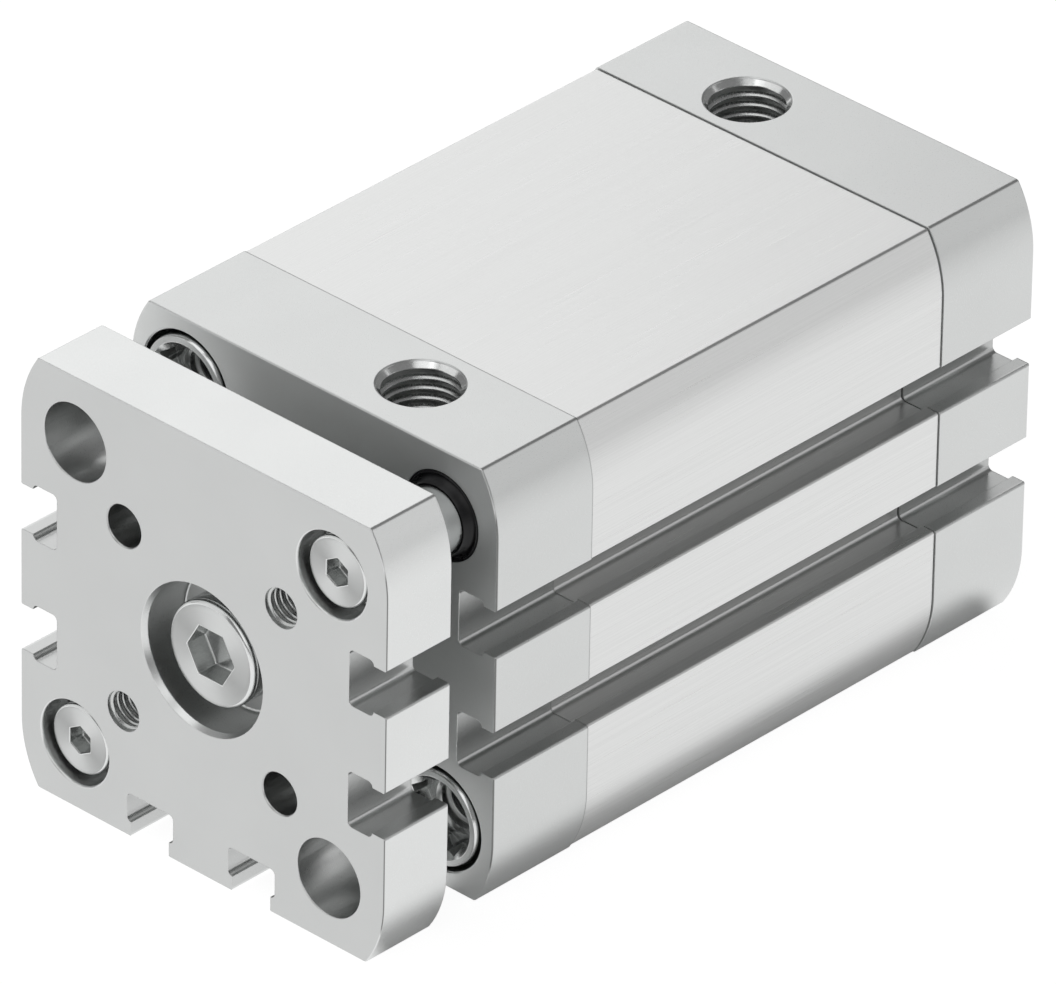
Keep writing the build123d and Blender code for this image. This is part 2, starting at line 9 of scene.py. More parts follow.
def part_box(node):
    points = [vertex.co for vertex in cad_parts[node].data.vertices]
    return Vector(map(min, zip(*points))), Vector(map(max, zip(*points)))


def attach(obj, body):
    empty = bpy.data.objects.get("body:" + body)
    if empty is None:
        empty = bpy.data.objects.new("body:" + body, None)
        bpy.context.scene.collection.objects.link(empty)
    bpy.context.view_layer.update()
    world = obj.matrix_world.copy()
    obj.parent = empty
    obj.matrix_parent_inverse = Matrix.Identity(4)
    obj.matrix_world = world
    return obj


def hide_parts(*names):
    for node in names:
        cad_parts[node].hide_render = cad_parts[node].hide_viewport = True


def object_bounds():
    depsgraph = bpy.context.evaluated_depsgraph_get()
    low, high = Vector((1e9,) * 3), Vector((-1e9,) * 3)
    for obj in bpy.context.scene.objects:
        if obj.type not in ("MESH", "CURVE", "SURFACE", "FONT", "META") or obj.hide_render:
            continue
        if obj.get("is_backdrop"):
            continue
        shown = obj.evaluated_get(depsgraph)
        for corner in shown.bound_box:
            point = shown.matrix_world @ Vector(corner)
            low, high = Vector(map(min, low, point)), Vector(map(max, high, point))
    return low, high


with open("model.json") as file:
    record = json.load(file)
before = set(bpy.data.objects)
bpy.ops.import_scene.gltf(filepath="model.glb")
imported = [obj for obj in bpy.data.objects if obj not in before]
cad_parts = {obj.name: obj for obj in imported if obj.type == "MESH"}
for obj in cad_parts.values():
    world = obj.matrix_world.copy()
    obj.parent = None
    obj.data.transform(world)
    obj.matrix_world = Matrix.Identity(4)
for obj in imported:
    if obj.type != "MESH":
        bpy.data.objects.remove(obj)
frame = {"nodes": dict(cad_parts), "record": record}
cad_low, cad_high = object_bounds()
nodes = frame["nodes"]
mounts = {mount["name"]: Vector(mount["pos_m"]) for mount in frame["record"]["mounts"]}
mm = 0.001

# Barrel
# A drawn aluminium section with the piston's bore, four corner channels and six T slots. It is sawn to
# length and its outside is brushed along the axis, so it has long fine lines.

barrel_colour = (0.73, 0.735, 0.73)
line_width = 0.13 * mm
line_length = 22 * mm
slot_lit_depth = 0.25 * mm
slot_depth = 6 * mm
slot_spread = 14 * mm
slot_fade = 0.5 * mm
slot_painted_shade = 0.78
broken_edge = 0.15 * mm
noise_middle = (0.3, 0.7)
nearly_square, square_on = 0.9, 0.99


def start_material(name, colour, roughness, metallic=1.0):
    """A metal or other material to build a finish on: itself, its tree and its shader."""
    material = bpy.data.materials.new(name)
    material.use_nodes = True
    tree = material.node_tree
    shader = tree.nodes["Principled BSDF"]
    shader.inputs["Base Color"].default_value = (*colour, 1)
    shader.inputs["Roughness"].default_value = roughness
    shader.inputs["Metallic"].default_value = metallic
    return material, tree, shader


def feed(tree, value, entry):
    """Puts another node's output, or a plain value, into an input."""
    if isinstance(value, bpy.types.NodeSocket):
        tree.links.new(value, entry)
    else:
        entry.default_value = value


def calculate(tree, operation, *values, clamp=False):
    """One step of arithmetic."""
    step = tree.nodes.new("ShaderNodeMath")
    step.operation = operation
    step.use_clamp = clamp
    for value, entry in zip(values, step.inputs):
        feed(tree, value, entry)
    return step.outputs[0]


def calculate_vector(tree, operation, *values):
    """One step of arithmetic on vectors. A length and a dot product come out as a number."""
    step = tree.nodes.new("ShaderNodeVectorMath")
    step.operation = operation
    for value, entry in zip(values, step.inputs):
        feed(tree, value, entry)
    return step.outputs["Value" if operation in ("LENGTH", "DOT_PRODUCT") else "Vector"]


def surface(tree, what="Object"):
    """Where a point of the piece's surface lies, or with Normal the way it faces."""
    return tree.nodes.new("ShaderNodeTexCoord").outputs[what]


def split(tree, vector):
    """The X, Y and Z of a vector."""
    parts = tree.nodes.new("ShaderNodeSeparateXYZ")
    tree.links.new(vector, parts.inputs["Vector"])
    return parts.outputs


def ramp(tree, source, start, end, low=0, high=1, course="LINEAR"):
    """Low up to the start, high from the end on, and a ramp between them."""
    span = tree.nodes.new("ShaderNodeMapRange")
    span.interpolation_type = course
    for name, value in (("From Min", start), ("From Max", end), ("To Min", low), ("To Max", high)):
        span.inputs[name].default_value = value
    tree.links.new(source, span.inputs["Value"])
    return span.outputs["Result"]


def widen(tree, source, low, high):
    """The middle of a noise, stretched to run from low to high."""
    return ramp(tree, source, *noise_middle, low, high)


def grain(tree, size, detail):
    """Noise whose marks have this size along X, Y and Z, even over the piece."""
    stretch = tree.nodes.new("ShaderNodeMapping")
    stretch.inputs["Scale"].default_value = [1 / length for length in size]
    noise = tree.nodes.new("ShaderNodeTexNoise")
    noise.inputs["Scale"].default_value = 1
    noise.inputs["Detail"].default_value = detail
    tree.links.new(surface(tree), stretch.inputs["Vector"])
    tree.links.new(stretch.outputs["Vector"], noise.inputs["Vector"])
    return noise.outputs["Fac"]


def mix_colours(tree, shader, share, first, second, manner="MIX"):
    """The shader's colour goes from the first to the second as the share goes from nothing to one."""
    mix = tree.nodes.new("ShaderNodeMix")
    mix.data_type = "RGBA"
    mix.blend_type = manner
    feed(tree, share, mix.inputs["Factor"])
    feed(tree, first, mix.inputs["A"])
    feed(tree, second, mix.inputs["B"])
    tree.links.new(mix.outputs["Result"], shader.inputs["Base Color"])


def shade(tree, shader, source, colour, change):
    """The colour goes darker and lighter with the pattern, by this share each way."""
    darker = (*[part * (1 - change) for part in colour], 1)
    lighter = (*[min(1, part * (1 + change)) for part in colour], 1)
    mix_colours(tree, shader, widen(tree, source, 0, 1), darker, lighter)


def tone(tree, shader, where, share):
    """The colour is multiplied by this share where it says."""
    plain = shader.inputs["Base Color"].links[0].from_socket
    mix_colours(tree, shader, where, plain, (share, share, share, 1), "MULTIPLY")


def roughen(tree, shader, source, low, high):
    """The gloss follows the pattern."""
    tree.links.new(widen(tree, source, low, high), shader.inputs["Roughness"])


def emboss(tree, shader, source, height, where=1):
    """The pattern stands up from the surface by this height, all over or only where it says."""
    bump = tree.nodes.new("ShaderNodeBump")
    feed(tree, where, bump.inputs["Strength"])
    feed(tree, height, bump.inputs["Distance"])
    feed(tree, source, bump.inputs["Height"])
    tree.links.new(bump.outputs["Normal"], shader.inputs["Normal"])


def break_edges(tree, shader, width):
    """Every edge of the piece catches the light as if it were broken by this much."""
    edge = tree.nodes.new("ShaderNodeBevel")
    edge.samples = 8
    edge.inputs["Radius"].default_value = width
    bump = shader.inputs["Normal"].links[0].from_node
    tree.links.new(edge.outputs["Normal"], bump.inputs["Normal"])


def worked(name, colour, roughness, marks, detail, change, height=0.0, metallic=1.0):
    """A material with the marks of its making. They have this size along X, Y and Z, take the roughness
    from its one value to the other, change the colour by this share and stand up by this height."""
    material, tree, shader = start_material(name, colour, sum(roughness) / 2, metallic)
    pattern = grain(tree, marks, detail)
    shade(tree, shader, pattern, colour, change)
    roughen(tree, shader, pattern, *roughness)
    if height:
        emboss(tree, shader, pattern, height)
    return material


def ends_only(tree, facing_front=False):
    """One on the faces square to the cylinder's axis, or only on those that face the front, and nothing on
    its sides."""
    along = split(tree, surface(tree, "Normal"))["Y"]
    turned = calculate(tree, "MULTIPLY", along, -1) if facing_front else calculate(tree, "ABSOLUTE", along)
    return ramp(tree, turned, nearly_square, square_on)


def slots_only(tree, half):
    """One in the T slots and the ports of a body this half wide, and nothing on its outside and its ends."""
    off = split(tree, calculate_vector(tree, "ABSOLUTE", surface(tree)))
    far = calculate(tree, "MAXIMUM", off["X"], off["Z"])
    near = calculate(tree, "MINIMUM", off["X"], off["Z"])
    inside = ramp(tree, far, half - slot_lit_depth, half - 2 * slot_lit_depth)
    for source, start, end in (
        (far, half - slot_depth - slot_fade, half - slot_depth),
        (near, slot_spread, slot_spread - slot_fade),
        (ends_only(tree), 1, 0),
    ):
        inside = calculate(tree, "MULTIPLY", inside, ramp(tree, source, start, end))
    return inside


def dress(material, *names):
    """These pieces of the frame keep their shape and take this finish."""
    for name in names:
        piece = nodes[name]
        piece.data.materials.clear()
        piece.data.materials.append(material)


brushed = worked(
    "brushed_barrel_aluminium", barrel_colour, roughness=(0.27, 0.37),
    marks=(line_width, line_length, line_width), detail=4, change=0.05, height=0.005 * mm,
)
brushed_tree = brushed.node_tree
brushed_shader = brushed_tree.nodes["Principled BSDF"]
break_edges(brushed_tree, brushed_shader, broken_edge)
# Painted shade: the colour is darker in the T slots and the ports.
tone(brushed_tree, brushed_shader, slots_only(brushed_tree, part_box("barrel")[1].x), slot_painted_shade)
dress(brushed, "barrel")

# End caps
# Milled aluminium blocks on the barrel's ends, blasted fine and anodised. Each has an air port in its top,
# and the barrel's slots run on through them.

cap_colour = (0.637, 0.647, 0.642)
cap_roughness = 0.3
blast_grain = 0.09 * mm
blast_height = 0.0012 * mm
blast_spread = 0.03
cloud_size = (9 * mm, 14 * mm, 9 * mm)
cloudiness = 0.012
milled_dullness = 0.25
end_painted_light = 1.15
edge_width = 0.3 * mm
edge_slant = (-0.15, -0.4)
edge_painted_dark_line = 0.3
joint_gap = 0.06 * mm
joint_edge = 0.13 * mm
joint_painted_shade = 0.72


def edges_only(tree, half):
    """One on the broken edges along the outline of a body this half wide, where its ends meet its sides."""
    off = split(tree, calculate_vector(tree, "ABSOLUTE", surface(tree)))
    facing = split(tree, surface(tree, "Normal"))
    slant = ramp(tree, calculate(tree, "MULTIPLY", facing["X"], facing["Y"]), *edge_slant)
    outer = ramp(tree, off["X"], half - 2 * edge_width, half - edge_width)
    return calculate(tree, "MULTIPLY", slant, outer)


def satin(name, colour, roughness):
    """Finely blasted and anodised aluminium, with a faint grain and a soft cloudiness, painted shade in its
    slots and a painted dark reflection line on its outer edges."""
    material, tree, shader = start_material(name, colour, roughness)
    clouds = grain(tree, cloud_size, 2)
    grains = grain(tree, (blast_grain, blast_grain, blast_grain), 2)
    shade(tree, shader, clouds, colour, cloudiness)
    roughen(tree, shader, grains, roughness - blast_spread, roughness + blast_spread)
    emboss(tree, shader, grains, blast_height)
    break_edges(tree, shader, broken_edge)
    # Painted shade: the colour is darker in the T slots and the ports.
    tone(tree, shader, slots_only(tree, cad_high.x), slot_painted_shade)
    # Painted reflection: a dark line along the outer edges where the ends meet the sides.
    tone(tree, shader, edges_only(tree, cad_high.x), edge_painted_dark_line)
    return material, tree, shader


def last_of_cap(tree, joint):
    """One on the broken edge of the front cap, the last hair of it before the joint with the barrel."""
    return calculate(tree, "COMPARE", split(tree, surface(tree))["Y"], joint, joint_edge + joint_gap)


def dull(tree, shader, where, change):
    """The gloss is this much rougher where it says."""
    plain = shader.inputs["Roughness"].links[0].from_socket
    tree.links.new(calculate(tree, "MULTIPLY_ADD", where, change, plain), shader.inputs["Roughness"])


cap_metal, cap_tree, cap_shader = satin("satin_cap_aluminium", cap_colour, cap_roughness)
dull(cap_tree, cap_shader, ends_only(cap_tree), milled_dullness)
# Painted light: the ends of the caps are lighter, so the front cap's face in the gap behind the plate is
# brighter.
tone(cap_tree, cap_shader, ends_only(cap_tree), end_painted_light)
# Painted shade: the front cap is darker along its last hair before the joint with the barrel.
tone(cap_tree, cap_shader, last_of_cap(cap_tree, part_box("barrel")[0].y), joint_painted_shade)
dress(cap_metal, "front_cap", "rear_cap")

# Port mouths and threads
# Each air port is drilled, countersunk to its mouth and tapped. The countersink cuts the first turn of the
# thread away, and the turns below it catch the light on their crests.

port_root = 4.862 * mm
port_crest = 4.32 * mm
port_pitch = 1.25 * mm
port_mouth = 5.0 * mm
port_floor = 8.0 * mm
port_land = 0.35 * mm
port_lip = 0.1 * mm
port_runout = 0.3 * mm
round_steps = 96
helix_steps = 56
looking_down = (-math.pi / 2, 0, 0)
running_down = (math.pi, 0, 0)


def lathe(name, rings, ring_shut=False):
    """A turned piece about the Y axis, front face at y = 0, from rings of radius and depth. A radius may
    change with the angle and a depth with the radius. Its ends close flat, unless the rings run round to
    the first one again."""
    bm = bmesh.new()
    loops = []
    for radius, depth in rings:
        loop = []
        for step in range(round_steps):
            angle = 2 * math.pi * step / round_steps
            reach = radius(angle) if callable(radius) else radius
            back = depth(reach) if callable(depth) else depth
            loop.append(bm.verts.new((reach * math.cos(angle), back, reach * math.sin(angle))))
        loops.append(loop)
    if ring_shut:
        loops.append(loops[0])
    for near, far in zip(loops, loops[1:]):
        for step in range(round_steps):
            after = (step + 1) % round_steps
            bm.faces.new((near[step], near[after], far[after], far[step]))
    if not ring_shut:
        bm.faces.new(loops[0])
        bm.faces.new(reversed(loops[-1]))
    bmesh.ops.recalc_face_normals(bm, faces=bm.faces)
    mesh = bpy.data.meshes.new(name)
    bm.to_mesh(mesh)
    bm.free()
    piece = bpy.data.objects.new(name, mesh)
    bpy.context.scene.collection.objects.link(piece)
    return piece


def make_plain(piece):
    """What the piece's modifiers make becomes its own plain mesh, and they go."""
    finished = piece.evaluated_get(bpy.context.evaluated_depsgraph_get())
    mesh = bpy.data.meshes.new_from_object(finished)
    piece.modifiers.clear()
    piece.data = mesh
    return mesh


def soften(piece, width, angle=22):
    """A fine chamfer on every sharp edge, with the round faces smooth and the flat ones crisp."""
    if width:
        bevel = piece.modifiers.new("edges", "BEVEL")
        bevel.width = width
        bevel.segments = 1
        bevel.limit_method = "ANGLE"
        bevel.angle_limit = math.radians(angle)
    mesh = make_plain(piece)
    mesh.polygons.foreach_set("use_smooth", [True] * len(mesh.polygons))
    mesh.set_sharp_from_angle(angle=math.radians(angle))


def sockets(tree, inputs):
    """The tree's named inputs, after its geometry, and its one output."""
    tree.interface.new_socket("Places", in_out="INPUT", socket_type="NodeSocketGeometry")
    for name, kind in inputs:
        tree.interface.new_socket(name, in_out="INPUT", socket_type="NodeSocket" + kind)
    tree.interface.new_socket("Geometry", in_out="OUTPUT", socket_type="NodeSocketGeometry")
    return tree.nodes.new("NodeGroupInput").outputs, tree.nodes.new("NodeGroupOutput")


def join(tree, links):
    """Joins each output to its input."""
    for start, end in links:
        tree.links.new(start, end)


def set_on_places(tree, given, result, shape):
    """Sets the shape on every place, turned as asked, and finishes it as one mesh with its material."""
    turn = tree.nodes.new("FunctionNodeEulerToRotation")
    copies = tree.nodes.new("GeometryNodeInstanceOnPoints")
    whole = tree.nodes.new("GeometryNodeRealizeInstances")
    finish = tree.nodes.new("GeometryNodeSetMaterial")
    join(tree, (
        (given["Turn"], turn.inputs[0]),
        (given["Places"], copies.inputs["Points"]),
        (shape, copies.inputs["Instance"]),
        (turn.outputs[0], copies.inputs["Rotation"]),
        (copies.outputs["Instances"], whole.inputs["Geometry"]),
        (whole.outputs["Geometry"], finish.inputs["Geometry"]),
        (given["Material"], finish.inputs["Material"]),
        (finish.outputs["Geometry"], result.inputs["Geometry"]),
    ))


# The first tree sets a shape on places.

copy_tree = bpy.data.node_groups.new("copies_on_places", "GeometryNodeTree")
given, result = sockets(copy_tree, (("Shape", "Object"), ("Turn", "Vector"), ("Material", "Material")))
pattern_shape = copy_tree.nodes.new("GeometryNodeObjectInfo")
copy_tree.links.new(given["Shape"], pattern_shape.inputs["Object"])
set_on_places(copy_tree, given, result, pattern_shape.outputs["Geometry"])

# The second one draws an internal thread: a ridge that follows a helix, its foot in the wall and its crest
# rounded.

thread_sizes = ("Root radius", "Crest radius", "Turns", "Length", "Root width", "Crest width")
thread_tree = bpy.data.node_groups.new("internal_thread", "GeometryNodeTree")
given, result = sockets(
    thread_tree, [(size, "Float") for size in thread_sizes] + [("Turn", "Vector"), ("Material", "Material")]
)
helix = thread_tree.nodes.new("GeometryNodeCurveSpiral")
helix.inputs["Resolution"].default_value = helix_steps
upright = thread_tree.nodes.new("GeometryNodeSetCurveNormal")
upright.mode = "Z_UP"
ridge = thread_tree.nodes.new("GeometryNodeCurvePrimitiveQuadrilateral")
ridge.mode = "TRAPEZOID"
ridge.inputs["Offset"].default_value = 0
ridge_height = calculate(thread_tree, "SUBTRACT", given["Root radius"], given["Crest radius"])
seat = thread_tree.nodes.new("ShaderNodeCombineXYZ")
lay = thread_tree.nodes.new("GeometryNodeTransform")
lay.inputs["Rotation"].default_value = (0, 0, -math.pi / 2)
crest_round = thread_tree.nodes.new("GeometryNodeFilletCurve")
crest_round.mode = "POLY"
crest_round.inputs["Count"].default_value = 2
coil = thread_tree.nodes.new("GeometryNodeCurveToMesh")
coil.inputs["Fill Caps"].default_value = True
smooth = thread_tree.nodes.new("GeometryNodeSetShadeSmooth")
join(thread_tree, (
    (given["Root radius"], helix.inputs["Start Radius"]),
    (given["Root radius"], helix.inputs["End Radius"]),
    (given["Turns"], helix.inputs["Rotations"]),
    (given["Length"], helix.inputs["Height"]),
    (helix.outputs["Curve"], upright.inputs["Curve"]),
    (upright.outputs["Curve"], coil.inputs["Curve"]),
    (ridge_height, ridge.inputs["Height"]),
    (given["Root width"], ridge.inputs["Bottom Width"]),
    (given["Crest width"], ridge.inputs["Top Width"]),
    (calculate(thread_tree, "MULTIPLY", ridge_height, 0.5), seat.inputs["X"]),
    (seat.outputs["Vector"], lay.inputs["Translation"]),
    (ridge.outputs["Curve"], lay.inputs["Geometry"]),
    (lay.outputs["Geometry"], crest_round.inputs["Curve"]),
    (calculate(thread_tree, "MULTIPLY", given["Crest width"], 0.3), crest_round.inputs["Radius"]),
    (crest_round.outputs["Curve"], coil.inputs["Profile Curve"]),
    (coil.outputs["Mesh"], smooth.inputs["Geometry"]),
))
set_on_places(thread_tree, given, result, smooth.outputs["Geometry"])


def grow(name, tree, places, body, slot, replaced=(), **sizes):
    """Runs a tree on these places and keeps what it makes as one plain mesh that rides on its body."""
    seeds = bpy.data.meshes.new(name + "_places")
    seeds.from_pydata([tuple(place) for place in places], [], [])
    piece = bpy.data.objects.new(name, seeds)
    bpy.context.scene.collection.objects.link(piece)
    modifier = piece.modifiers.new("build", "NODES")
    modifier.node_group = tree
    for item in tree.interface.items_tree:
        key = item.name.lower().replace(" ", "_")
        if key in sizes:
            modifier[item.identifier] = sizes[key]
    mesh = make_plain(piece)
    bpy.data.meshes.remove(seeds)
    mesh.materials.clear()
    mesh.materials.append(sizes["material"])
    mesh.polygons.foreach_set("material_index", [0] * len(mesh.polygons))
    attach(piece, body)
    if replaced:
        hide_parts(*replaced)
    return piece


def retire(shape):
    """The pattern piece goes once its copies are made."""
    bpy.data.objects.remove(shape)


cut_metal = worked(
    "freshly_cut_aluminium", (0.80, 0.81, 0.805), roughness=(0.13, 0.2),
    marks=(0.3 * mm, 0.3 * mm, 0.3 * mm), detail=3, change=0.04,
)
# The tapped threads are darker than the caps: painted shade between the turns of the threads.
tapped_and_shaded_metal = worked(
    "tapped_aluminium", (0.58, 0.59, 0.585), roughness=(0.22, 0.3),
    marks=(0.25 * mm, 0.25 * mm, 0.25 * mm), detail=3, change=0.05,
)
port_places = [Vector((mounts[name].x, mounts[name].y, cad_high.z)) for name in ("front_port", "rear_port")]

mouth_depth = port_mouth - port_crest
mouth_shape = lathe(
    "port_mouth",
    (
        (port_root, port_mouth - port_root),
        (port_crest, mouth_depth),
        (port_crest, mouth_depth + port_lip),
        (port_root, mouth_depth + port_land),
    ),
    ring_shut=True,
)
soften(mouth_shape, width=0.03 * mm)
grow("port_mouths", copy_tree, port_places, "housing", "cap_aluminium",
     shape=mouth_shape, turn=looking_down, material=cut_metal)
retire(mouth_shape)

thread_start = mouth_depth + 0.75 * port_pitch
thread_places = [place - Vector((0, 0, thread_start)) for place in port_places]
thread_length = port_floor - thread_start - port_runout
grow("port_threads", thread_tree, thread_places, "housing", "cap_aluminium",
     root_radius=port_root, crest_radius=port_crest, turns=thread_length / port_pitch, length=thread_length,
     root_width=0.78 * port_pitch, crest_width=0.13 * mm, turn=running_down, material=tapped_and_shaded_metal)

# Collar screws
# Six hollow steel screws hold the caps to the barrel's corner channels. Each has a twelve-point drive in a
# countersunk mouth, and a tapped hole right through, which takes a screw of the machine's own.

steel_colour = (0.62, 0.63, 0.625)
steel_roughness = 0.3
collar_head = 5.85 * mm
collar_face = 5.6 * mm
collar_bevel_depth = 0.42 * mm
collar_corner = 0.08 * mm
collar_crease = 0.02 * mm
collar_underside = 0.1 * mm
collar_cone = 4.95 * mm
collar_head_height = 5.0 * mm
collar_shank = 4.95 * mm
collar_length = 23.0 * mm
screw_point = 0.6 * mm
drive_apothem = 4.0 * mm
drive_floor = 3.6 * mm
inner_root = 2.98 * mm
inner_crest = 2.5 * mm
inner_pitch = 1.0 * mm
inner_mouth = 3.4 * mm
inner_sink = 0.4 * mm
inner_point = 0.3 * mm
inner_first = 0.9 * mm
inner_runout = 0.8 * mm
ring_width = 0.09 * mm
ring_height = 0.0015 * mm
ring_change = 0.03
ring_spread = 0.04
fan_line = (0.94, 0, -0.34)
fan_painted_sheen = 0.74
face_skin = 0.03 * mm
rim_reach = 0.8 * mm
flat_enough = 0.97
unturned = (0, 0, 0)
facing_back = (0, 0, math.pi)
into_front = (-math.pi / 2, 0, 0)
into_rear = (math.pi / 2, 0, 0)


def turned_steel(name, colour, roughness, away):
    """Zinc-plated steel whose faces show the rings of the lathe. The axes lie this far off in X and Z, and
    each face has a painted sheen: a little darker in two soft fans on opposite sides of its axis."""
    material, tree, shader = start_material(name, colour, roughness)
    place = surface(tree)
    folded = calculate_vector(tree, "ABSOLUTE", place)
    centred = calculate_vector(tree, "MULTIPLY_ADD", folded, (1, 0, 1), (-away, 0, -away))
    distance = calculate_vector(tree, "LENGTH", centred)
    rings = tree.nodes.new("ShaderNodeTexNoise")
    rings.noise_dimensions = "1D"
    rings.inputs["Scale"].default_value = 1
    rings.inputs["Detail"].default_value = 2
    tree.links.new(calculate(tree, "DIVIDE", distance, ring_width), rings.inputs["W"])
    side = calculate_vector(tree, "SIGN", place)
    outward = calculate_vector(tree, "MULTIPLY", side, centred)
    around = calculate_vector(tree, "CROSS_PRODUCT", outward, (0, 1, 0))
    spoke = calculate_vector(tree, "NORMALIZE", outward)
    along = calculate_vector(tree, "DOT_PRODUCT", spoke, fan_line)
    ends = ends_only(tree)
    marks = tree.nodes.new("ShaderNodeMix")
    feed(tree, ends, marks.inputs["Factor"])
    feed(tree, 0.5, marks.inputs["A"])
    feed(tree, rings.outputs["Fac"], marks.inputs["B"])
    tree.links.new(around, shader.inputs["Tangent"])
    shader.inputs["Anisotropic"].default_value = 0.9
    shade(tree, shader, marks.outputs["Result"], colour, ring_change)
    # Painted sheen: the colour is darker in two fans across each turned face.
    tone(tree, shader, calculate(tree, "MULTIPLY", along, along), fan_painted_sheen)
    roughen(tree, shader, marks.outputs["Result"], roughness - ring_spread, roughness + ring_spread)
    emboss(tree, shader, rings.outputs["Fac"], ring_height, ends)
    return material


def keep_pressed_and_shaded(piece, inner, outer, places, reach):
    """Only the flat ends are turned. The socket, which lies this near the axis, and the sides stay as they
    were pressed, and are darker with painted shade; the rim has a finish of its own."""
    piece.data.materials.append(inner)
    piece.data.materials.append(outer)
    for face in piece.data.polygons:
        away = min((face.center - place for place in places), key=lambda off: math.hypot(off.x, off.z))
        if math.hypot(away.x, away.z) < reach and abs(away.y) > face_skin:
            face.material_index = 1
        elif abs(face.normal.y) < flat_enough:
            face.material_index = 2 if abs(away.y) < rim_reach else 1


def polygon(apothem, corners, first=0.0):
    """The radius of a regular polygon at any angle, with one corner at the first angle."""
    half = math.pi / corners
    return lambda angle: apothem / math.cos((angle - first) % (2 * half) - half)


def twelve_point(angle):
    """Two hexagons, one turned by 30 degrees on the other."""
    return max(polygon(drive_apothem, 6)(angle), polygon(drive_apothem, 6, math.pi / 6)(angle))


def centre(name):
    """The middle of a piece of the frame, seen along the axis, at its front."""
    low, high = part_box(name)
    return Vector(((low.x + high.x) / 2, low.y, (low.z + high.z) / 2))


# The socket's steel is darker than the turned faces: painted shade in the socket and on the head's sides.
pressed = worked(
    "pressed_socket_steel", (0.54, 0.55, 0.545), roughness=(0.17, 0.22),
    marks=(0.35 * mm, 1.6 * mm, 0.35 * mm), detail=3, change=0.03,
)
rolled = worked(
    "rolled_rim_steel", (0.74, 0.75, 0.745), roughness=(0.17, 0.23),
    marks=(1.2 * mm, 0.25 * mm, 1.2 * mm), detail=3, change=0.03,
)
corner_offset = abs(centre("guide_rod_upper").x)
corner_steel = turned_steel("turned_corner_steel", steel_colour, steel_roughness, corner_offset)
collar_shape = lathe(
    "collar_screw",
    (
        (inner_root, drive_floor + inner_sink),
        (inner_root, collar_length - inner_point),
        (inner_root + inner_point, collar_length),
        (collar_shank - screw_point, collar_length),
        (collar_shank, collar_length - screw_point),
        (collar_shank, collar_head_height),
        (collar_head - collar_underside, collar_head_height),
        (collar_head, collar_head_height - collar_underside),
        (collar_head, collar_bevel_depth + collar_corner),
        (collar_head - collar_crease, collar_bevel_depth),
        (collar_face + 2 * collar_crease, collar_crease),
        (collar_face, 0),
        (collar_cone, 0),
        (twelve_point, lambda radius: collar_cone - radius),
        (twelve_point, drive_floor),
        (inner_mouth, drive_floor),
    ),
    ring_shut=True,
)
soften(collar_shape, width=0.05 * mm)
front_collars = [f"front_collar_screw_{place}" for place in ("upper", "lower")]
rear_collars = [
    f"rear_collar_screw_{place}" for place in ("upper_left", "upper_right", "lower_left", "lower_right")
]
collar_places = {
    "front": [centre(name) for name in front_collars],
    "rear": [centre(name) + Vector((0, collar_length, 0)) for name in rear_collars],
}
for end, collars, turn in (("front", front_collars, unturned), ("rear", rear_collars, facing_back)):
    heads = grow(f"{end}_collar_screws", copy_tree, collar_places[end], "housing", "screw_steel", collars,
                 shape=collar_shape, turn=turn, material=corner_steel)
    keep_pressed_and_shaded(heads, pressed, rolled, collar_places[end], reach=1.1 * drive_apothem)
retire(collar_shape)

inner_start = drive_floor + inner_first
inner_length = collar_length - inner_start - inner_runout
for end, inward, turn in (("front", inner_start, into_front), ("rear", -inner_start, into_rear)):
    starts = [place + Vector((0, inward, 0)) for place in collar_places[end]]
    grow(f"{end}_collar_threads", thread_tree, starts, "housing", "screw_steel",
         root_radius=inner_root, crest_radius=inner_crest, turns=inner_length / inner_pitch,
         length=inner_length, root_width=0.8 * inner_pitch, crest_width=0.16 * mm,
         turn=turn, material=corner_steel)

# Seals and bumpers
# Moulded nitrile rings: one under each cap, two on the piston and one on the rod. A softer ribbed ring on
# each cap takes the piston's blow.

bloom_size = (1.5 * mm, 1.5 * mm, 1.5 * mm)
bloom_change = 0.25
bloom_spread = 0.06
skin_size = (0.12 * mm, 0.12 * mm, 0.12 * mm)
skin_height = 0.004 * mm


def moulded_rubber(name, colour, roughness, gloss=0.5):
    """Black moulded rubber with a faint bloom."""
    material, tree, shader = start_material(name, colour, roughness, 0.0)
    shader.inputs["Specular IOR Level"].default_value = gloss
    bloom = grain(tree, bloom_size, 3)
    skin = grain(tree, skin_size, 2)
    shade(tree, shader, bloom, colour, bloom_change)
    roughen(tree, shader, bloom, roughness - bloom_spread, roughness + bloom_spread)
    emboss(tree, shader, skin, skin_height)
    return material


seal_rubber = moulded_rubber("nitrile_rubber", (0.014, 0.014, 0.015), roughness=0.42)
bumper_rubber = moulded_rubber("bumper_rubber", (0.03, 0.03, 0.032), roughness=0.55)
dress(seal_rubber, "front_cap_seal", "rear_cap_seal", "piston_seal_front", "piston_seal_rear", "rod_seal")
dress(bumper_rubber, "front_bumper", "rear_bumper")

# Wipers
# Black polyurethane rings pressed into the front cap's mouths. Each has a flange with a bead round it,
# and a conical lip that scrapes its rod clean as it goes back in.

flange_depth = 0.04 * mm
flange_break = 0.08 * mm
bead_inset = 0.3 * mm
bead_width = 0.1 * mm
bead_height = 0.05 * mm
groove_inset = 0.6 * mm
groove_depth = 0.2 * mm
lip_width = 0.14 * mm
lip_edge = 0.06 * mm
lip_room = 0.03 * mm
lip_swell = 0.55


